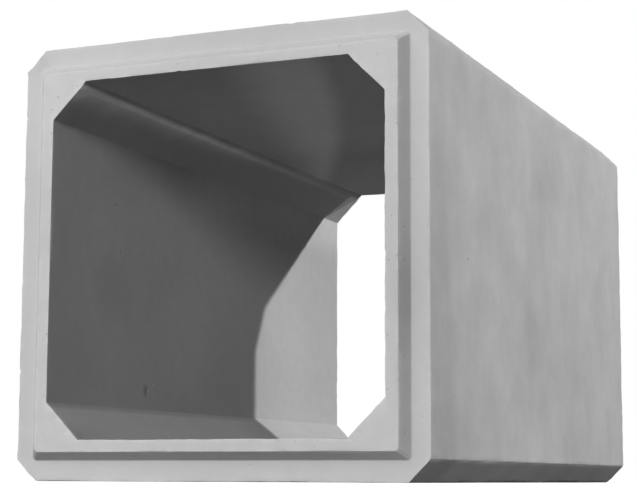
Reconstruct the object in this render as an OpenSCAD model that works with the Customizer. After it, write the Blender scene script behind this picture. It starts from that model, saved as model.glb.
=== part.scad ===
// Precast concrete box culvert unit. One reinforced casting with a square opening, a haunch in each
// corner of the opening, chamfered outer corners, a tapered spigot on the near end and the socket that
// takes the next unit's spigot on the far end.
// Millimetres, +Z up. The origin is at the middle of the underside; the spigot points along -Y.

/* [Opening] */
// Clear width of the opening
opening_w = 1200; // [900:10:1800]
// Clear height of the opening
opening_h = 1200; // [900:10:1800]
// Leg of the 45 degree haunch in each corner of the opening
haunch = 124; // [60:1:200]

/* [Walls and slabs] */
// Thickness of each side wall
wall_t = 135; // [125:1:250]
// Thickness of the roof slab
roof_t = 135; // [125:1:250]
// Thickness of the floor slab
floor_t = 135; // [125:1:250]
// Leg of the 45 degree chamfer along each long outer corner
chamfer = 72; // [30:1:90]

/* [Length] */
// Laying length, from the shoulder behind the spigot to the far end
laying_l = 2500; // [1000:10:3000]

/* [Joint] */
// How far the spigot stands out past its shoulder
spigot_reach = 40; // [20:1:60]
// How far each side of the spigot leans in over its reach
spigot_lean = 27; // [10:1:40]
// Width of the shoulder outside the spigot on the side walls
side_shoulder = 63; // [50:1:70]
// Width of the shoulder outside the spigot on the roof and floor slabs
slab_shoulder = 68; // [50:1:75]
// Gap for the joint seal, all round a spigot seated in a socket
seal_gap = 5; // [2:1:10]

/* [Hidden] */

outer_w = opening_w + 2 * wall_t;
outer_h = floor_t + opening_h + roof_t;
full_l = laying_l + spigot_reach;

// Stations along Y
tip_y = -full_l / 2;
shoulder_y = tip_y + spigot_reach;
far_y = full_l / 2;

// The socket is the spigot's shape grown by the seal gap, and deeper by it
lean_rate = spigot_lean / spigot_reach;
socket_depth = spigot_reach + seal_gap;
socket_y = far_y - socket_depth;
side_rim = side_shoulder - seal_gap;
slab_rim = slab_shoulder - seal_gap;

// How far a cut runs on past the face that it opens through
cut_past = 10;

// Centred rectangle from z0 up to z1 with a 45 degree cut across each corner
function cut_corners(w, z0, z1, leg) = [
    [-w / 2 + leg, z0], [w / 2 - leg, z0], [w / 2, z0 + leg], [w / 2, z1 - leg],
    [w / 2 - leg, z1], [-w / 2 + leg, z1], [-w / 2, z1 - leg], [-w / 2, z0 + leg],
];

// Runs an XZ section along Y from y0 to y1
module along_y(y0, y1) {
    translate([0, y1, 0]) rotate([90, 0, 0]) linear_extrude(y1 - y0) children();
}

// Runs an XY plan up through the whole height
module upright() {
    translate([0, 0, -cut_past]) linear_extrude(outer_h + 2 * cut_past) children();
}

// Runs a YZ side view across the whole width
module across() {
    rotate([90, 0, 90]) linear_extrude(outer_w + 2 * cut_past, center = true) children();
}

// Barrel and spigot in plan: full width behind the shoulder, leaning in towards the tip
module barrel_plan() {
    root = outer_w / 2 - side_shoulder;
    tip = root - spigot_lean;
    polygon([
        [-tip, tip_y], [tip, tip_y], [root, shoulder_y], [outer_w / 2, shoulder_y],
        [outer_w / 2, far_y], [-outer_w / 2, far_y], [-outer_w / 2, shoulder_y], [-root, shoulder_y],
    ]);
}

// Barrel and spigot seen from the side, as Y and Z
module barrel_side() {
    low = slab_shoulder;
    high = outer_h - slab_shoulder;
    polygon([
        [tip_y, low + spigot_lean], [shoulder_y, low], [shoulder_y, 0], [far_y, 0],
        [far_y, outer_h], [shoulder_y, outer_h], [shoulder_y, high], [tip_y, high - spigot_lean],
    ]);
}

// Recess of the socket in plan: it narrows from its mouth at the far end to its floor
module socket_plan() {
    mouth = outer_w / 2 - side_rim + lean_rate * cut_past;
    base = outer_w / 2 - side_rim - lean_rate * socket_depth;
    polygon([
        [-base, socket_y], [base, socket_y], [mouth, far_y + cut_past], [-mouth, far_y + cut_past],
    ]);
}

// Recess of the socket seen from the side, as Y and Z
module socket_side() {
    mouth = slab_rim - lean_rate * cut_past;
    base = slab_rim + lean_rate * socket_depth;
    polygon([
        [socket_y, base], [far_y + cut_past, mouth],
        [far_y + cut_past, outer_h - mouth], [socket_y, outer_h - base],
    ]);
}

module socket_recess() {
    intersection() {
        upright() socket_plan();
        across() socket_side();
    }
}

// The whole casting
module culvert_unit() {
    color("darkgray") difference() {
        intersection() {
            along_y(tip_y, far_y) polygon(cut_corners(outer_w, 0, outer_h, chamfer));
            upright() barrel_plan();
            across() barrel_side();
        }
        along_y(tip_y - cut_past, far_y + cut_past)
            polygon(cut_corners(opening_w, floor_t, floor_t + opening_h, haunch));
        socket_recess();
    }
}

culvert_unit();
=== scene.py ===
# Precast concrete box culvert unit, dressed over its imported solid. Metres, +Z up, culvert along Y.
import math

import bpy
import numpy as np
from mathutils import Matrix, Vector


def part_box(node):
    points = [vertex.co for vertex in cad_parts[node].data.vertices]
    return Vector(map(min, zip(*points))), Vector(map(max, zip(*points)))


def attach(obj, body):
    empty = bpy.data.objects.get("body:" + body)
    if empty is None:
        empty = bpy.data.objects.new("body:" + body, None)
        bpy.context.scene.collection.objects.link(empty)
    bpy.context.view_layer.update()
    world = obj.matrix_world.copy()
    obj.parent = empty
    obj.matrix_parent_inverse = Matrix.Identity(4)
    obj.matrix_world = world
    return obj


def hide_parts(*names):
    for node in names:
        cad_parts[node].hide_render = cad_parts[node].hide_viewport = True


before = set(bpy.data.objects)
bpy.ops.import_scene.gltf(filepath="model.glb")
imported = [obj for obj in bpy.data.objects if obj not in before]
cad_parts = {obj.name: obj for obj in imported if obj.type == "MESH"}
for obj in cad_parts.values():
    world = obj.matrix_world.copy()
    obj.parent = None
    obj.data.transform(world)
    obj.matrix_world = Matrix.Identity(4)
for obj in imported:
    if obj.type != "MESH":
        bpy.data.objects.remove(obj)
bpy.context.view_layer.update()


# ---- The casting's shape ----
# One reinforced box, cast on end in a steel mould with a collapsing core. The near end has the
# spigot and the shoulder round it, and the far end has the socket that takes the next spigot.

low, high = (np.array(corner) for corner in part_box("culvert_unit"))
TIP_Y = low[1]
FAR_Y = high[1]
HALF_WIDTH = high[0]
HALF_HEIGHT = (high[2] - low[2]) / 2
MIDDLE_Z = (high[2] + low[2]) / 2

WALL = 0.135
HAUNCH = 0.124
CHAMFER = 0.072
SIDE_SHOULDER = 0.063
SLAB_SHOULDER = 0.068
REACH = 0.040
LEAN = 0.027
SEAL_GAP = 0.005
SQUARE_CORNER = 0.009

SHOULDER_Y = TIP_Y + REACH
SOCKET_Y = FAR_Y - REACH - SEAL_GAP
SOCKET_LEAN = LEAN / REACH * (REACH + SEAL_GAP)
SIDE_RIM = SIDE_SHOULDER - SEAL_GAP
SLAB_RIM = SLAB_SHOULDER - SEAL_GAP

# The edge loops in order round the wall of the casting: inset from the sides, inset from the
# slabs, leg of the corner cut, and place along the culvert.
EDGE_LOOPS = np.array([
    (0, 0, CHAMFER, SHOULDER_Y),
    (0, 0, CHAMFER, FAR_Y),
    (SIDE_RIM, SLAB_RIM, SQUARE_CORNER, FAR_Y),
    (SIDE_RIM + SOCKET_LEAN, SLAB_RIM + SOCKET_LEAN, SQUARE_CORNER, SOCKET_Y),
    (WALL, WALL, HAUNCH, SOCKET_Y),
    (WALL, WALL, HAUNCH, TIP_Y),
    (SIDE_SHOULDER + LEAN, SLAB_SHOULDER + LEAN, SQUARE_CORNER, TIP_Y),
    (SIDE_SHOULDER, SLAB_SHOULDER, SQUARE_CORNER, SHOULDER_Y),
])
# Which of those edges are sharp, and the faces that lead from each loop to the next
SHARP_LOOPS = np.array([True, True, True, False, True, True, True, False])
SKIN, RIM, SOCKET_SIDE, SOCKET_FLOOR, BORE, LAND, SPIGOT_SIDE, SHOULDER = range(8)

END_ROUND = 0.0025
LONG_ROUND = 0.0030
ROUND_ROWS = np.array([0.2, 0.4, 0.6, 0.8])
CLOSE_ROWS = np.array([0.0, 0.003, 0.008, 0.016, 0.030])
SHORT_ROWS = np.array([0.0, 0.003, 0.008])
LONG_LEG = 1.0
LONG_STEP = 0.042
SHORT_STEP = 0.009


def rows_along(length, step, close):
    """Distances from one end of a leg to the other: close rows at both ends, even steps between."""
    inner = length - 2 * close[-1]
    count = max(1, round(inner / step))
    middle = close[-1] + inner * np.arange(1, count) / count
    return np.concatenate([close, middle, length - close[::-1]])


def wall_profile():
    """The closed path round the casting's wall, as rows of EDGE_LOOPS' four columns: each edge is
    the parabola between the points END_ROUND away on both sides of it, and each leg between two
    edges is straight. Also gives each row's leg, and its distance from the nearest sharp edge."""
    rows, legs, clear = [], [], []
    count = len(EDGE_LOOPS)
    for k in range(count):
        before, here, after = EDGE_LOOPS[k - 1], EDGE_LOOPS[k], EDGE_LOOPS[(k + 1) % count]
        back = before - here
        on = after - here
        into = here + back * END_ROUND / np.hypot(back[0], back[3])
        out = here + on * END_ROUND / np.hypot(on[0], on[3])
        t = ROUND_ROWS[:, None]
        rows.append((1 - t) ** 2 * into + 2 * t * (1 - t) * here + t ** 2 * out)
        legs.append(np.where(ROUND_ROWS < 0.5, (k - 1) % count, k))
        clear.append(np.full(len(t), 0.0 if SHARP_LOOPS[k] else 1.0))
        span = np.hypot(on[0], on[3])
        step, close = (LONG_STEP, CLOSE_ROWS) if span > LONG_LEG else (SHORT_STEP, SHORT_ROWS)
        d = rows_along(span - 2 * END_ROUND, step, close)
        rows.append(out + on / span * d[:, None])
        legs.append(np.full(len(d), k))
        start = d if SHARP_LOOPS[k] else d + 1
        end = d[::-1] if SHARP_LOOPS[(k + 1) % count] else d + 1
        clear.append(np.minimum(start, end))
    return np.concatenate(rows), np.concatenate(legs), np.concatenate(clear)


# Fractions of a cut corner's face where rows run, close together beside the mould seam
HAUNCH_ROWS = np.array([0.04, 0.10, 0.145, 0.175, 0.20, 0.23, 0.28, 0.38, 0.5,
                        0.62, 0.72, 0.77, 0.80, 0.825, 0.855, 0.90, 0.96])
# Places along each flat side, as fractions of it, where rows run close together for a knocked edge
KNOCKS = ((0.17, 0.46, 0.86), (0.30, 0.63), (0.12, 0.55, 0.78), (0.38, 0.71))
KNOCK_ROWS = np.array([-0.021, -0.013, -0.006, 0.0, 0.006, 0.013, 0.021])
SIDE_STEP = 0.050


def side_rows(length, knocks):
    """Distances along a flat side, one row of them for each length: close rows at both ends and
    round each knock, and even steps of about SIDE_STEP between those."""
    longest = length.max()
    parts = [CLOSE_ROWS + 0 * length]
    reached = CLOSE_ROWS[-1] + 0 * length
    share = 0.0
    for knock in (*knocks, 1.0):
        stop = length * knock + KNOCK_ROWS[0] if knock < 1 else length - CLOSE_ROWS[-1]
        count = max(1, round((knock - share) * longest / SIDE_STEP))
        parts.append(reached + (stop - reached) * np.arange(1, count) / count)
        if knock < 1:
            parts.append(length * knock + KNOCK_ROWS)
            reached = length * knock + KNOCK_ROWS[-1]
            share = knock
    parts.append(length - CLOSE_ROWS[::-1])
    return np.concatenate(parts, axis=1)


def rings(stations):
    """Points round the casting at each station. A ring is a rectangle with its corners cut at 45
    degrees, and each of the eight corners that leaves is a parabola LONG_ROUND long on both sides.
    Also gives the side that each point is on, its distance along it and the side's length."""
    a = HALF_WIDTH - stations[:, 0:1]
    b = HALF_HEIGHT - stations[:, 1:2]
    leg, y = stations[:, 2:3], stations[:, 3:4]
    x = np.concatenate([a, a, a - leg, -a + leg, -a, -a, -a + leg, a - leg], axis=1)
    z = np.concatenate([-b + leg, b - leg, b, b, b - leg, -b + leg, -b, -b], axis=1)
    corner = np.stack([x, z], axis=2)
    points, sides, along, lengths = [], [], [], []
    for k in range(8):
        here, after, before = corner[:, k], corner[:, (k + 1) % 8], corner[:, k - 1]
        on = after - here
        span = np.linalg.norm(on, axis=1, keepdims=True)
        on = on / span
        back = (before - here) / np.linalg.norm(before - here, axis=1, keepdims=True)
        into, out = here + back * LONG_ROUND, here + on * LONG_ROUND
        t = ROUND_ROWS[None, :, None]
        points.append((1 - t) ** 2 * into[:, None] + 2 * t * (1 - t) * here[:, None]
                      + t ** 2 * out[:, None])
        length = span - 2 * LONG_ROUND
        if k % 2 == 0:
            d = side_rows(length, KNOCKS[k // 2])
        else:
            d = length * np.concatenate([[0.0], HAUNCH_ROWS, [1.0]])
        points.append(out[:, None] + on[:, None] * d[:, :, None])
        rounds = len(ROUND_ROWS)
        sides.append(np.full(rounds + d.shape[1], k))
        along.append(np.concatenate([np.zeros((len(d), rounds)), d], axis=1))
        lengths.append(np.broadcast_to(length, (len(d), rounds + d.shape[1])))
    flat = np.concatenate(points, axis=1)
    y = np.broadcast_to(y, flat.shape[:2])
    ring = np.stack([flat[:, :, 0], y, flat[:, :, 1] + MIDDLE_Z], axis=2)
    return ring, np.concatenate(sides), np.concatenate(along, axis=1), np.concatenate(lengths, axis=1)


def outward(grid):
    """Unit normals of a grid that closes on itself both ways: the cross product of the step along
    the wall's profile and the step round the ring."""
    step_v = np.roll(grid, -1, axis=0) - np.roll(grid, 1, axis=0)
    step_u = np.roll(grid, -1, axis=1) - np.roll(grid, 1, axis=1)
    normal = np.cross(step_v, step_u)
    return normal / np.linalg.norm(normal, axis=2, keepdims=True)


def waves(points, shortest, longest, count, seed):
    """Smooth random field from about -1 to 1: the mean of sine waves of random heading and phase,
    with wavelengths from shortest to longest, scaled by the root of their number."""
    rng = np.random.default_rng(seed)
    heading = rng.normal(size=(count, 3))
    heading /= np.linalg.norm(heading, axis=1, keepdims=True)
    length = np.exp(rng.uniform(np.log(shortest), np.log(longest), count))
    phase = rng.uniform(0, 2 * np.pi, count)
    turns = points @ (heading * 2 * np.pi / length[:, None]).T + phase
    return np.sin(turns).sum(axis=-1) / np.sqrt(count)


stations, leg_of_row, clear_of_end = wall_profile()
surface, side_of_point, along_side, side_length = rings(stations)
normals = outward(surface)

# Distance from the nearest sharp edge: a ring's corners are sharp on the outer skin alone
to_corner = np.minimum(along_side, side_length - along_side)
skin_row = (leg_of_row == SKIN)[:, None]
to_edge = np.minimum(clear_of_end[:, None], np.where(skin_row, to_corner, 1.0))

# The mould's sheets were never quite flat, and every loss is inwards, so the box stays the solid's
DISH = 0.0010
dished = 0.5 + 0.5 * np.clip(waves(surface, 0.25, 1.1, count=28, seed=11), -1, 1)
surface -= normals * DISH * dished[..., None]

# Sharp edges are rubbed in handling, more in some places than in others
RUB = 0.0028
RUB_REACH = 0.004
rubbed = np.clip(0.35 + 0.5 * waves(surface, 0.03, 0.35, count=32, seed=12), 0, 1)
rubbed *= np.exp(-to_edge / RUB_REACH)
surface -= normals * RUB * rubbed[..., None]


# ---- Mould seam ----
# The core's roof sheet laps its haunch sheets, and grout creeps into each lap. It leaves a low ridge
# along both upper haunches, which runs out just short of the ends. Painted light runs down from it
# as a pale band, broad at the spigot end, and painted shade darkens the strip above it.

SEAM_DOWN = 0.0296
SEAM_RISE = 0.0038
SEAM_HALF = 0.0085
SEAM_WANDER = 0.0014
SEAM_RUN_OUT = 0.012
SEAM_LIGHT_BELOW = 0.044
SEAM_LIGHT_ABOVE = 0.0135
END_SEAM_LIGHT = 1.5
END_SEAM_LIGHT_REACH = 0.07
SEAM_SHADE = 0.09
SEAM_SHADE_CLEAR = 0.05
from_ceiling = np.where(side_of_point == 1, side_length - along_side, along_side) + LONG_ROUND
upper_haunch = np.isin(side_of_point, (1, 3))[None, :] & (leg_of_row == BORE)[:, None]
below_seam = from_ceiling - SEAM_DOWN + SEAM_WANDER * waves(surface, 0.08, 0.4, count=16, seed=13)
ridge = np.where(upper_haunch, np.exp(-(below_seam / SEAM_HALF) ** 2), 0.0)
rise = SEAM_RISE * ridge * np.clip(clear_of_end / SEAM_RUN_OUT, 0, 1)[:, None]
# It stands half as high at the socket end
rise *= np.interp(surface[..., 1], (0.2, 1.0), (1.0, 0.5))
surface += normals * rise[..., None]

# The painted light's strength fades towards the socket end. Below the seam it thins out as a bell
# curve, and above it it gives way within a short reach to painted shade, which counts as less than
# none.
strength = np.interp(surface[..., 1], (-1.1, -0.2, 0.2, 0.9), (1.1, 0.85, 0.40, 0.10))
strength *= 0.92 + 0.08 * waves(surface, 0.05, 0.5, count=16, seed=14)
spread = SEAM_LIGHT_BELOW * strength
shade_above_seam = SEAM_SHADE * strength * (1 + 0.6 * waves(surface, 0.06, 0.3, count=16, seed=15))
shade_above_seam *= np.clip(clear_of_end / SEAM_SHADE_CLEAR, 0, 1)[:, None]
strength *= 1 + END_SEAM_LIGHT * np.exp((TIP_Y - surface[..., 1]) / END_SEAM_LIGHT_REACH)
# A pale band of painted light on the ridge and below it, and painted shade above it
seam_shading = 0.5 * strength * (ridge + np.exp(-(below_seam / spread) ** 2))
above_seam_shading = (strength + shade_above_seam) * np.exp(-np.abs(below_seam / SEAM_LIGHT_ABOVE) ** 3) - shade_above_seam
painted_seam_shading = np.where(upper_haunch, np.where(below_seam > 0, seam_shading, above_seam_shading), 0.0)


# ---- Knocked edges ----
# Where chains and bars have touched an edge, a flake has come off: a shallow curved break across
# the edge, deepest in its middle and rough inside.

KNOCK_SHARE = 0.4
KNOCK_DEPTH = (0.0015, 0.0050)
KNOCK_HALF = (0.010, 0.020)
KNOCK_REACH = 0.05
KNOCK_CURVE = 1.6
KNOCK_ROUGH = 0.2

sharp_edges, _, _, _ = rings(EDGE_LOOPS)
rng = np.random.default_rng(21)
knock_points = []
for side, knocks in enumerate(KNOCKS):
    on_side = np.flatnonzero(side_of_point == 2 * side)
    for knock in knocks:
        gap = np.abs(along_side[0, on_side] - side_length[0, on_side] * knock)
        knock_points.append(on_side[np.argmin(gap)])
for loop in np.flatnonzero(SHARP_LOOPS):
    row = int(np.argmin(np.abs(stations - EDGE_LOOPS[loop]).sum(axis=1)))
    for point in knock_points:
        if rng.random() > KNOCK_SHARE:
            continue
        depth = rng.uniform(*KNOCK_DEPTH)
        flake_half = rng.uniform(*KNOCK_HALF)
        at = sharp_edges[loop, point]
        facing = normals[row, point]
        run = sharp_edges[loop, point + 1] - sharp_edges[loop, point - 1]
        run /= np.linalg.norm(run)
        offset = surface - at
        near = np.linalg.norm(offset, axis=2) < KNOCK_REACH
        break_depth = depth * (1 - (np.abs(offset @ run) / flake_half) ** KNOCK_CURVE)
        rough = waves(surface, 0.006, 0.02, count=12, seed=22 + point)
        break_depth += KNOCK_ROUGH * depth * rough
        loss = np.where(near, np.clip(offset @ facing + break_depth, 0, None), 0.0)
        surface -= facing * loss[..., None]


# ---- Air holes ----
# Air trapped against the mould leaves round holes in the cast faces, a few millimetres across.
# Each is a small bowl let into one cell of the surface, joined to that cell's four corners.

rows, points_round = surface.shape[:2]
index = np.arange(rows * points_round).reshape(rows, points_round)
cells = np.stack([
    index, np.roll(index, -1, axis=0), np.roll(np.roll(index, -1, axis=0), -1, axis=1),
    np.roll(index, -1, axis=1),
], axis=2).reshape(-1, 4)
vertices = surface.reshape(-1, 3)
corners = vertices[cells]
cell_leg = np.repeat(leg_of_row, points_round)
along_y = np.linalg.norm(corners[:, 1] - corners[:, 0], axis=1)
across = np.linalg.norm(corners[:, 3] - corners[:, 0], axis=1)
cell_room = np.minimum(along_y, across)

HOLES = 260
HOLE_RADII = (0.0009, 0.0050)
RADIUS_SCALE = 0.0011
LOG_RADIUS = (0.35, 0.5)
BOWL_DEPTH = (0.55, 1.1)
OVAL = 0.14
LOPSIDED = 0.05
LEAST_ROOM = 0.006
ROOM_SHARE = 0.3
KEPT_CLEAR = 1.6
HOLE_SPOKES = 12
HOLE_RINGS = np.array([1.35, 1.0, 0.70, 0.36])
HOLE_DEPTHS = np.array([0.0, 0.0, 0.62, 0.93])
LARGE_HOLE = np.array([-HALF_WIDTH + WALL, TIP_Y + 0.667, 0.332])
LARGE_RADIUS = 0.013

rng = np.random.default_rng(31)
open_cell = (cell_room > LEAST_ROOM) & np.isin(cell_leg, (SKIN, BORE, LAND, SHOULDER, RIM))
weight = np.where(open_cell, along_y * across, 0)
holed = rng.choice(len(cells), HOLES, replace=False, p=weight / weight.sum())
to_large = corners.mean(axis=1) - LARGE_HOLE
large = int(np.argmin(np.linalg.norm(to_large, axis=1)))
holed = np.union1d(holed, [large])
radius = np.clip(RADIUS_SCALE * np.exp(rng.normal(*LOG_RADIUS, len(holed))), *HOLE_RADII)
radius[holed == large] = LARGE_RADIUS
radius = np.minimum(radius, ROOM_SHARE * cell_room[holed])

# A bowl's points as shares of its cell, s along the culvert and t round the ring. The first spoke
# points at the cell's first corner.
spokes = np.radians(-135 + 360 / HOLE_SPOKES * np.arange(HOLE_SPOKES))
turn = rng.uniform(0, 2 * np.pi, (len(holed), 1))
outline = 1 + OVAL * np.sin(2 * spokes + turn) + LOPSIDED * np.sin(3 * spokes - turn)
reach = radius[:, None, None] * HOLE_RINGS[:, None] * outline[:, None, :]
slack = 0.5 - KEPT_CLEAR * radius / cell_room[holed]
centre = 0.5 + slack[:, None] * rng.uniform(-1, 1, (len(holed), 2))
s = centre[:, 0, None, None] + reach * np.cos(spokes) / along_y[holed, None, None]
t = centre[:, 1, None, None] + reach * np.sin(spokes) / across[holed, None, None]
s = np.concatenate([s.reshape(len(holed), -1), centre[:, 0:1]], axis=1)
t = np.concatenate([t.reshape(len(holed), -1), centre[:, 1:2]], axis=1)
p0, p1, p2, p3 = (corners[holed, k][:, None] for k in range(4))
s, t = s[..., None], t[..., None]
bowl = (1 - s) * (1 - t) * p0 + s * (1 - t) * p1 + s * t * p2 + (1 - s) * t * p3
up = np.cross(corners[holed, 2] - corners[holed, 0], corners[holed, 3] - corners[holed, 1])
up /= np.linalg.norm(up, axis=1, keepdims=True)
bowl_depth = radius * rng.uniform(*BOWL_DEPTH, len(holed))
sink = np.append(np.repeat(HOLE_DEPTHS, HOLE_SPOKES), 1.0)
bowl -= up[:, None] * (bowl_depth[:, None] * sink)[..., None]

# Each holed cell becomes a collar from its corners to the bowl, bands between the bowl's rings and
# a fan of triangles at the bottom
per_hole = len(sink)
first = len(vertices) + per_hole * np.arange(len(holed))[:, None]
spoke = np.arange(HOLE_SPOKES)
quarter = HOLE_SPOKES // 4 * np.arange(4)
owner = cells[holed]
collar = np.stack([
    owner, np.roll(owner, -1, axis=1), first + quarter + 2, first + quarter + 1], axis=2)
fan_out = np.stack([owner, first + quarter + 1, first + quarter], axis=2)
fan_in = np.stack([owner, first + quarter, first + (quarter - 1) % HOLE_SPOKES], axis=2)
bands = []
for ring in range(len(HOLE_RINGS) - 1):
    outer = first + ring * HOLE_SPOKES
    inner = outer + HOLE_SPOKES
    after = (spoke + 1) % HOLE_SPOKES
    bands.append(np.stack([outer + spoke, outer + after, inner + after, inner + spoke], axis=2))
last = first + (len(HOLE_RINGS) - 1) * HOLE_SPOKES
pit = np.broadcast_to(first + per_hole - 1, (len(holed), HOLE_SPOKES))
floors = np.stack([last + spoke, last + (spoke + 1) % HOLE_SPOKES, pit], axis=2)

kept = np.ones(len(cells), bool)
kept[holed] = False
hole_quads = np.concatenate([collar, *bands], axis=1)
hole_triangles = np.concatenate([fan_out, fan_in, floors], axis=1)
faces = (cells[kept].tolist() + hole_quads.reshape(-1, 4).tolist()
         + hole_triangles.reshape(-1, 3).tolist())
leg_of_face = np.concatenate([
    cell_leg[kept], np.repeat(cell_leg[holed], hole_quads.shape[1]),
    np.repeat(cell_leg[holed], hole_triangles.shape[1])])


# ---- The whole casting ----
# One closed surface has all the features above and takes the imported solid's place. Its points carry
# how near a sharp edge they are, how much painted light or shade the seam puts on them, and how deep in
# a hole they are.

EDGE_REACH = 0.009
SMOOTH_UP_TO = 32
mesh = bpy.data.meshes.new("culvert_casting")
mesh.from_pydata(np.concatenate([vertices, bowl.reshape(-1, 3)]).tolist(), [], faces)
no_hole = np.zeros(len(vertices))
in_hole = np.tile(sink, len(holed))
for name, on_surface, on_bowl in (
        ("edge", np.exp(-to_edge / EDGE_REACH).ravel(), 0 * in_hole),
        ("seam", painted_seam_shading.ravel(), 0 * in_hole),
        ("hole", no_hole, in_hole)):
    layer = mesh.attributes.new(name, "FLOAT", "POINT")
    layer.data.foreach_set("value", np.concatenate([on_surface, on_bowl]))
mesh.shade_smooth()
mesh.set_sharp_from_angle(angle=math.radians(SMOOTH_UP_TO))
casting = bpy.data.objects.new("culvert_casting", mesh)
bpy.context.scene.collection.objects.link(casting)
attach(casting, "root")
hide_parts("culvert_unit")


# ---- Concrete finish ----
# Pale grey concrete, smooth off the steel and matt. It is clouded by the pour, speckled by sand and
# by pinholes with painted shade in them, rubbed pale along its edges, darker in air holes with dirt and
# painted shade, and marked where water has stood on it in the yard; its stains also hold painted
# light and shade.


def add_node(tree, kind, values=(), **settings):
    """Adds a shader node, sets its properties by name and its inputs by number or name. A socket
    given as an input is linked to it."""
    node = tree.nodes.new("ShaderNode" + kind)
    for key, value in settings.items():
        setattr(node, key, value)
    for key, value in dict(values).items():
        if isinstance(value, bpy.types.NodeSocket):
            tree.links.new(value, node.inputs[key])
        else:
            node.inputs[key].default_value = value
    return node


def maths(tree, operation, *values, clamp=False):
    """One step of arithmetic, as its output socket."""
    return add_node(tree, "Math", enumerate(values), operation=operation, use_clamp=clamp).outputs[0]


def product(tree, *values):
    """The values multiplied together, from first to last."""
    result = values[0]
    for value in values[1:]:
        result = maths(tree, "MULTIPLY", result, value)
    return result


def axes_of(tree, place):
    """A position's X, Y and Z, as output sockets by name."""
    return add_node(tree, "SeparateXYZ", {"Vector": place}).outputs


def ramp(tree, value, start, end, low=0.0, high=1.0):
    """Smooth step: low where value is at start, high where it is at end."""
    values = {"Value": value, "From Min": start, "From Max": end, "To Min": low, "To Max": high}
    return add_node(tree, "MapRange", values, interpolation_type="SMOOTHSTEP").outputs[0]


def new_group(name, inputs, outputs):
    """An empty shader node group with those sockets, and its input and output nodes."""
    group = bpy.data.node_groups.new(name, "ShaderNodeTree")
    for socket, kind in inputs.items():
        group.interface.new_socket(socket, in_out="INPUT", socket_type="NodeSocket" + kind)
    for socket, kind in outputs.items():
        group.interface.new_socket(socket, in_out="OUTPUT", socket_type="NodeSocket" + kind)
    return group, group.nodes.new("NodeGroupInput").outputs, group.nodes.new("NodeGroupOutput").inputs


def use_group(tree, group, place, **values):
    """A node that uses a group at a position with those inputs, as its output socket."""
    return add_node(tree, "Group", {"Vector": place, **values}, node_tree=group).outputs[0]


def cloud_group():
    """Soft blotches: a factor near 1, which is 1 plus noise of the given size times contrast."""
    group, given, result = new_group(
        "cloud", {"Vector": "Vector", "Size": "Float", "Contrast": "Float"}, {"Factor": "Float"})
    scale = maths(group, "DIVIDE", 1.0, given["Size"])
    noise = add_node(group, "TexNoise", {"Vector": given["Vector"], "Scale": scale,
                                         "Detail": 4.0, "Roughness": 0.44})
    centred = maths(group, "SUBTRACT", noise.outputs["Fac"], 0.5)
    swing = maths(group, "MULTIPLY_ADD", centred, given["Contrast"], 1.0)
    group.links.new(swing, result["Factor"])
    return group


def pinhole_group():
    """Pinholes: in a chosen share of random cells, a round spot whose size varies by the cell."""
    group, given, result = new_group(
        "pinholes", {"Vector": "Vector", "Spacing": "Float", "Share": "Float"}, {"Mask": "Float"})
    scale = maths(group, "DIVIDE", 1.0, given["Spacing"])
    cell = add_node(group, "TexVoronoi", {"Vector": given["Vector"], "Scale": scale})
    lot = add_node(group, "SeparateColor", {"Color": cell.outputs["Color"]}).outputs
    size = maths(group, "MULTIPLY_ADD", lot["Green"], 0.16, 0.06)
    depth = maths(group, "SUBTRACT", size, cell.outputs["Distance"])
    spot = maths(group, "MULTIPLY", depth, 14.0, clamp=True)
    chosen = maths(group, "LESS_THAN", lot["Red"], given["Share"])
    group.links.new(maths(group, "MULTIPLY", spot, chosen), result["Mask"])
    return group


def rub_group():
    """Pale rubbed edges: nearness to an edge, broken up by noise a few centimetres across, and
    fainter above the opening, where chains and bars seldom reach."""
    group, given, result = new_group(
        "rubbed_edge", {"Vector": "Vector", "Amount": "Float"}, {"Mask": "Float"})
    near = add_node(group, "Attribute", attribute_name="edge").outputs["Fac"]
    noise = add_node(group, "TexNoise", {"Vector": given["Vector"], "Scale": 24.0, "Detail": 5.0})
    patchy = ramp(group, noise.outputs["Fac"], 0.32, 0.62)
    by_height = ramp(group, axes_of(group, given["Vector"])["Z"], 1.345, 1.365, 1.0, 0.2)
    worn = product(group, near, patchy, by_height)
    group.links.new(maths(group, "MULTIPLY", worn, given["Amount"], clamp=True), result["Mask"])
    return group


def mark_group():
    """One soft mark: 1 in its middle and 0 a little past its reach, as a smooth step of the distance
    from the centre measured in reaches, to which noise is added so that its outline wanders."""
    group, given, result = new_group(
        "soft_mark", {"Vector": "Vector", "Centre": "Vector", "Reach": "Vector"}, {"Mask": "Float"})
    noise = add_node(group, "TexNoise", {"Vector": given["Vector"], "Scale": 7.0, "Detail": 4.0})
    offset = add_node(group, "VectorMath", {0: given["Vector"], 1: given["Centre"]},
                      operation="SUBTRACT")
    shares = add_node(group, "VectorMath", {0: offset.outputs[0], 1: given["Reach"]},
                      operation="DIVIDE")
    shift = add_node(group, "VectorMath", {0: noise.outputs["Color"], 1: (0.5, 0.5, 0.5)},
                     operation="SUBTRACT")
    moved = add_node(group, "VectorMath",
                     {0: shift.outputs[0], 1: (0.9, 0.9, 0.9), 2: shares.outputs[0]},
                     operation="MULTIPLY_ADD")
    distance = add_node(group, "VectorMath", {0: moved.outputs[0]}, operation="LENGTH")
    group.links.new(ramp(group, distance.outputs["Value"], 1.2, 0.2), result["Mask"])
    return group


CLOUD, PINHOLES, RUBBED, MARK = cloud_group(), pinhole_group(), rub_group(), mark_group()


def marked(tree, place, factor, marks):
    """A factor times 1 plus each mark's strength where it lies. A mark is its centre, its reach
    along each axis and its strength, which is negative where it darkens."""
    for centre, reach, strength in marks:
        mask = use_group(tree, MARK, place, Centre=centre, Reach=reach)
        factor = product(tree, factor, maths(tree, "MULTIPLY_ADD", mask, strength, 1.0))
    return factor


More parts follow.
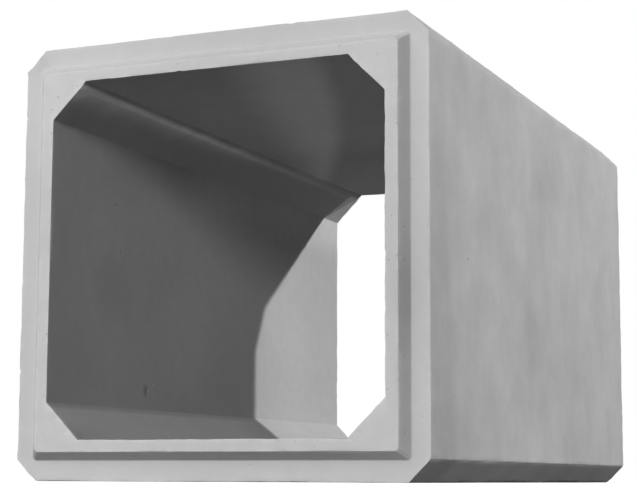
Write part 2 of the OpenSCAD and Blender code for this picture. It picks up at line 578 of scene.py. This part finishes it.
def concrete(name, tone, rough, cloud, stains):
    """A concrete finish: its tone times broad and fine clouds, sand grain and its own stains, then
    rubbed pale along the edges, darkened in pinholes as painted shade and in air holes as dirt and
    painted shade. Grain and pinholes also set the bump."""
    material = bpy.data.materials.new(name)
    material.use_nodes = True
    tree = material.node_tree
    shader = tree.nodes["Principled BSDF"]
    place = add_node(tree, "TexCoord").outputs["Object"]

    broad = use_group(tree, CLOUD, place, Size=0.55, Contrast=cloud)
    fine = use_group(tree, CLOUD, place, Size=0.055, Contrast=cloud * 0.7)
    sand = use_group(tree, CLOUD, place, Size=0.0035, Contrast=0.16)
    holes = use_group(tree, PINHOLES, place, Spacing=0.016, Share=0.10)
    rub = use_group(tree, RUBBED, place, Amount=0.3)
    paler = maths(tree, "MULTIPLY_ADD", rub, 0.30, 1.0)
    # Pinholes get painted shade, and air holes dirt and painted shade
    pinhole_shade = maths(tree, "MULTIPLY_ADD", holes, -0.45, 1.0)
    hollow = add_node(tree, "Attribute", attribute_name="hole").outputs["Fac"]
    hole_dirt_and_shade = maths(tree, "MULTIPLY_ADD", hollow, -0.34, 1.0)
    value = product(tree, broad, tone, fine, sand, stains(tree, place), paler, pinhole_shade)
    value = maths(tree, "MULTIPLY", value, hole_dirt_and_shade, clamp=True)
    tree.links.new(value, shader.inputs["Base Color"])
    uneven = maths(tree, "MULTIPLY", fine, rough, clamp=True)
    tree.links.new(uneven, shader.inputs["Roughness"])
    shader.inputs["Specular IOR Level"].default_value = 0.3
    relief = maths(tree, "MULTIPLY_ADD", sand, 0.0009, 0.0)
    relief = maths(tree, "MULTIPLY_ADD", holes, -0.0012, relief)
    bump = add_node(tree, "Bump", {"Height": relief, "Distance": 1.0, "Strength": 0.6})
    tree.links.new(bump.outputs["Normal"], shader.inputs["Normal"])
    return material


SKIN_MARKS = (
    ((HALF_WIDTH, -0.85, 1.19), (0.3, 0.26, 0.20), -0.08),
    ((HALF_WIDTH, -1.08, 0.95), (0.3, 0.17, 0.18), -0.07),
    ((HALF_WIDTH, 0.12, 1.18), (0.3, 0.24, 0.20), -0.10),
    ((HALF_WIDTH, 0.02, 0.98), (0.3, 0.07, 0.20), -0.07),
    ((HALF_WIDTH, -0.16, 1.12), (0.3, 0.06, 0.18), 0.07),
    ((HALF_WIDTH, -0.12, 0.50), (0.3, 0.16, 0.17), -0.09),
    ((HALF_WIDTH, -0.72, 0.60), (0.3, 0.22, 0.12), -0.07),
    ((HALF_WIDTH, -0.50, 0.34), (0.3, 0.14, 0.12), 0.04),
    ((HALF_WIDTH, -0.85, 0.18), (0.3, 0.14, 0.14), -0.08),
    ((HALF_WIDTH, 0.50, 0.38), (0.3, 0.08, 0.09), -0.06),
)


def skin_stains(tree, place):
    """Outer skin: faint upright runs and soft patches, darker towards the base and paler towards
    the socket end, with a damp band up the walls behind the shoulder, dirt on the roof and its
    chamfers, painted shade on the downward chamfers at the foot, and the marks above."""
    axes = axes_of(tree, place)
    layered = add_node(tree, "Mapping", {"Vector": place, "Scale": (0.5, 4.5, 0.9)}).outputs[0]
    layers = add_node(tree, "TexNoise", {"Vector": layered, "Scale": 1.0, "Detail": 1.6}).outputs["Fac"]
    runs = maths(tree, "MULTIPLY_ADD", layers, 0.13, 0.935)
    patches = use_group(tree, CLOUD, place, Size=0.24, Contrast=0.34)
    by_height = ramp(tree, axes["Z"], 0.1, 1.3, 0.915, 1.06)
    by_length = ramp(tree, axes["Y"], -0.9, 1.3, 0.975, 1.085)
    wander = maths(tree, "MULTIPLY_ADD", layers, 0.5, axes["Y"])
    behind = ramp(tree, wander, SHOULDER_Y + 0.38, SHOULDER_Y + 0.60, 1.0, 0.0)
    damp = product(tree, behind, ramp(tree, axes["Z"], 0.7, 1.5, 1.0, 0.25), -0.14)
    damp = maths(tree, "ADD", damp, 1.0)
    roof_dirt = ramp(tree, axes["Z"], 1.385, 1.41, 1.0, 0.89)
    # Painted shade on the foot, where the lower chamfers face down, deeper towards the socket end
    foot = ramp(tree, axes["Z"], 0.055, 0.085, 1.0, 0.0)
    foot = product(tree, foot, ramp(tree, axes["Y"], -0.9, 0.9, -0.13, -0.21))
    foot = maths(tree, "ADD", foot, 1.0)
    factor = product(tree, runs, patches, by_height, by_length, damp, roof_dirt, foot)
    return marked(tree, place, factor, SKIN_MARKS)


EDGE_MARK = ((0.70, TIP_Y, 0.58), (0.12, 0.3, 0.24))


def washed(tree, axes):
    """End faces washed by rain: pale towards the top and over one half, a little pale at the foot,
    and dull along the roof's edge and that half's outer edge."""
    half = ramp(tree, axes["X"], -0.42, 0.08, 1.06, 0.98)
    outer_edge = ramp(tree, axes["X"], -0.70, -0.60, 0.94, 1.0)
    foot = ramp(tree, axes["Z"], 0.06, 0.09, 1.025, 1.0)
    top = ramp(tree, axes["Z"], 0.95, 1.28, 1.0, 1.07)
    roof_edge = ramp(tree, axes["Z"], 1.385, 1.402, 1.0, 0.955)
    return product(tree, half, outer_edge, foot, top, roof_edge)


def joint_stains(tree, place):
    """End faces: washed by rain, and darker at one place on the side."""
    return marked(tree, place, washed(tree, axes_of(tree, place)), [(*EDGE_MARK, -0.05)])


def seal_stains(tree, place):
    """Sealing faces: darker than the end faces as painted shade, but with painted light along the top
    and one side, paler at one end of the base, and darker at the same place as the end face."""
    axes = axes_of(tree, place)
    side = ramp(tree, axes["X"], -0.640, -0.648)
    side = product(tree, side, ramp(tree, axes["Z"], 0.10, 0.14))
    # Painted light lifts the top and left sealing faces out of their shading; painted shade darkens the
    # rest
    painted_light_share = maths(tree, "MAXIMUM", side, ramp(tree, axes["Z"], 1.375, 1.392, 0.0, 0.6))
    painted_shading = maths(tree, "MULTIPLY_ADD", painted_light_share, 0.12, 0.92)
    base = maths(tree, "SUBTRACT", ramp(tree, axes["X"], 0.35, 0.62, 0.0, 0.10), 0.05)
    base = product(tree, base, ramp(tree, axes["Z"], 0.10, 0.12, 1.0, 0.0))
    base = maths(tree, "ADD", base, 1.0)
    factor = product(tree, washed(tree, axes), painted_shading, base)
    return marked(tree, place, factor, [(*EDGE_MARK, -0.17)])


CEILING = high[2] - WALL
WALL_TOP = CEILING - HAUNCH
BORE_MARKS = (
    # The first mark darkens in and round the large air hole, as dirt and painted shade
    ((-HALF_WIDTH + WALL, LARGE_HOLE[1], LARGE_HOLE[2]), (0.2, 0.022, 0.030), -0.35),
    ((-HALF_WIDTH + WALL, -0.84, 0.68), (0.2, 0.16, 0.15), -0.11),
    ((-HALF_WIDTH + WALL, -0.30, 0.52), (0.2, 0.26, 0.24), 0.09),
)


def bore_stains(tree, place):
    """Opening: painted light and shade at the seams and a band of painted light at the socket end,
    painted shade on the haunches round it, a pale streak of painted light bending across the ceiling,
    painted shade then painted light along the top of the walls, walls dulled towards the base,
    painted light on the lower haunches and further in, and a dark lip to the base."""
    axes = axes_of(tree, place)
    ceiling = ramp(tree, axes["Z"], CEILING - 0.010, CEILING - 0.002)
    above_wall = ramp(tree, axes["Z"], WALL_TOP - 0.0015, WALL_TOP + 0.0015)
    haunch = maths(tree, "SUBTRACT", above_wall, ceiling)

    # Ceiling: a pale streak of painted light between two slanting edges, and dull towards the socket
    # end
    near_edge = maths(tree, "MULTIPLY_ADD", axes["Y"], 0.31, axes["X"])
    bend = maths(tree, "MULTIPLY_ADD", axes["Y"], 0.06, 0.44)
    far_edge = maths(tree, "MULTIPLY_ADD", axes["Y"], bend, axes["X"])
    streak = product(tree, ramp(tree, near_edge, -0.42, -0.16),
                     ramp(tree, far_edge, -0.145, -0.035, 1.0, 0.0), 0.50)
    streak = maths(tree, "ADD", streak, ramp(tree, axes["Y"], -0.05, 0.45, -0.04, -0.19))
    factor = maths(tree, "MULTIPLY_ADD", streak, ceiling, 1.0)

    # Upper haunches: painted shade, less deep at either end
    painted_shading = ramp(tree, axes["Y"], -0.5, 0.3, -0.17, -0.07)
    painted_shading = maths(tree, "ADD", painted_shading, ramp(tree, axes["Y"], TIP_Y, -1.16, 0.15, 0.0))
    factor = maths(tree, "MULTIPLY_ADD", haunch, painted_shading, factor)

    # Painted light on them beyond a slanting edge, faint where the back lamp reaches, strong in its
    # shadow
    past_edge = maths(tree, "MULTIPLY_ADD", axes["Z"], -0.6, axes["Y"])
    end_band = product(tree, haunch, ramp(tree, past_edge, 0.322, 0.348),
                       ramp(tree, axes["Z"], 1.325, 1.308))
    above_line = maths(tree, "MULTIPLY_ADD", axes["Y"], -0.758, axes["Z"])
    painted_light_past_edge = ramp(tree, above_line, 0.404, 0.424, 0.14, 1.05)
    factor = maths(tree, "MULTIPLY_ADD", end_band, painted_light_past_edge, factor)

    # Top of the walls: a band of painted shade at first and painted light further in
    below_haunch = product(tree, ramp(tree, axes["Z"], 1.00, 1.16),
                           maths(tree, "SUBTRACT", 1.0, above_wall))
    wall_top_shading = product(tree, ramp(tree, axes["Y"], -0.45, 0.05, -0.10, 0.30),
                        ramp(tree, axes["Y"], -1.0, -0.75), ramp(tree, axes["Y"], 0.8, 1.0, 1.0, 0.8))
    factor = maths(tree, "MULTIPLY_ADD", below_haunch, wall_top_shading, factor)

    # The rest: paler upwards, painted light inwards and on the lower haunches, a dark lip
    #     # and the seam's painted light and shade
    by_height = ramp(tree, axes["Z"], 0.3, 1.0, 0.92, 1.08)
    by_length = ramp(tree, axes["Y"], 0.3, 0.7, 1.0, 1.05)
    lower_haunch_light = product(tree, ramp(tree, axes["Z"], 0.237, 0.252, 1.0, 0.0),
                   ramp(tree, axes["Y"], 0.0, 0.4, 0.29, 0.0))
    lower_haunch_light = maths(tree, "ADD", lower_haunch_light, 1.0)
    lip = product(tree, ramp(tree, axes["Y"], TIP_Y, -0.95, -0.22, 0.0),
                  ramp(tree, axes["Z"], 0.15, 0.22, 1.0, 0.0))
    lip = maths(tree, "ADD", lip, 1.0)
    seam_shading = add_node(tree, "Attribute", attribute_name="seam").outputs["Fac"]
    seam_shading = maths(tree, "MULTIPLY_ADD", seam_shading, 1.5, 1.0)
    factor = product(tree, factor, by_height, by_length, lower_haunch_light, lip, seam_shading)
    return marked(tree, place, factor, BORE_MARKS)


finishes = (
    (concrete("formed_skin", tone=0.48, rough=0.88, cloud=0.22, stains=skin_stains), [SKIN]),
    (concrete("joint_face", tone=0.50, rough=0.85, cloud=0.12, stains=joint_stains),
     [RIM, SOCKET_FLOOR, LAND, SHOULDER]),
    (concrete("sealing_face", tone=0.50, rough=0.80, cloud=0.12, stains=seal_stains),
     [SOCKET_SIDE, SPIGOT_SIDE]),
    (concrete("bore_lining", tone=0.46, rough=0.88, cloud=0.22, stains=bore_stains), [BORE]),
)
finish_of_leg = np.empty(len(EDGE_LOOPS), int)
for number, (finish, legs) in enumerate(finishes):
    mesh.materials.append(finish)
    finish_of_leg[legs] = number
mesh.polygons.foreach_set("material_index", finish_of_leg[leg_of_face])
mesh.update()


# ---- Studio ----
# A plain pale floor and a white surround. One soft lamp stands low in front of the culvert, a
# broader one stands higher to its left, and a small one behind its far right corner also shines in
# through the far end.

FLOOR_SIZE = 60.0
scene = bpy.context.scene
scene.view_settings.view_transform = "Standard"

world = bpy.data.worlds.new("studio")
scene.world = world
world.use_nodes = True
world_tree = world.node_tree
background = world_tree.nodes["Background"]
seen = add_node(world_tree, "LightPath").outputs["Is Camera Ray"]
brightness = maths(world_tree, "MULTIPLY_ADD", seen, 0.90, 0.10)
world_tree.links.new(brightness, background.inputs["Strength"])
background.inputs["Color"].default_value = (1, 1, 1, 1)

floor_mesh = bpy.data.meshes.new("floor")
floor_half = FLOOR_SIZE / 2
floor_corners = [(x * floor_half, y * floor_half, low[2])
                 for x, y in ((-1, -1), (1, -1), (1, 1), (-1, 1))]
floor_mesh.from_pydata(floor_corners, [], [(0, 1, 2, 3)])
floor = bpy.data.objects.new("floor", floor_mesh)
scene.collection.objects.link(floor)

# The floor looks pale to the camera but throws little light back up
floor_finish = bpy.data.materials.new("pale_floor")
floor_finish.use_nodes = True
floor_tree = floor_finish.node_tree
floor_shader = floor_tree.nodes["Principled BSDF"]
seen = add_node(floor_tree, "LightPath").outputs["Is Camera Ray"]
tone = maths(floor_tree, "MULTIPLY_ADD", seen, 0.72, 0.08)
floor_tree.links.new(tone, floor_shader.inputs["Base Color"])
glow = maths(floor_tree, "MULTIPLY", seen, 0.55)
floor_tree.links.new(glow, floor_shader.inputs["Emission Strength"])
floor_shader.inputs["Roughness"].default_value = 1.0
floor_shader.inputs["Specular IOR Level"].default_value = 0.0
floor_shader.inputs["Emission Color"].default_value = (1, 1, 1, 1)
floor_mesh.materials.append(floor_finish)


def add_sun(name, towards, strength, angle):
    """A distant lamp that shines from that direction, with the given width across the sky."""
    lamp = bpy.data.lights.new(name, "SUN")
    lamp.energy = strength
    lamp.angle = math.radians(angle)
    sun = bpy.data.objects.new(name, lamp)
    sun.rotation_mode = "QUATERNION"
    sun.rotation_quaternion = Vector(towards).to_track_quat("Z", "Y")
    scene.collection.objects.link(sun)


add_sun("front_key", towards=(0.184, -1.0, 0.26), strength=2.02, angle=14)
add_sun("front_high", towards=(-0.55, -0.61, 0.57), strength=1.60, angle=45)
add_sun("back_lamp", towards=(1.0, 0.739, 0.56), strength=2.52, angle=1.5)

CAMERA_AT = (2.4393, -6.0282, 0.0118)
camera_data = bpy.data.cameras.new("camera")
camera_data.lens = 94.84
camera_data.sensor_width = 36
camera = bpy.data.objects.new("camera", camera_data)
turn_left, tilt_up, roll = (math.radians(angle) for angle in (23.40, 7.76, 0.231))
camera.matrix_world = (
    Matrix.Translation(CAMERA_AT) @ Matrix.Rotation(turn_left, 4, "Z")
    @ Matrix.Rotation(math.pi / 2 + tilt_up, 4, "X") @ Matrix.Rotation(roll, 4, "Z"))
scene.collection.objects.link(camera)
scene.camera = camera
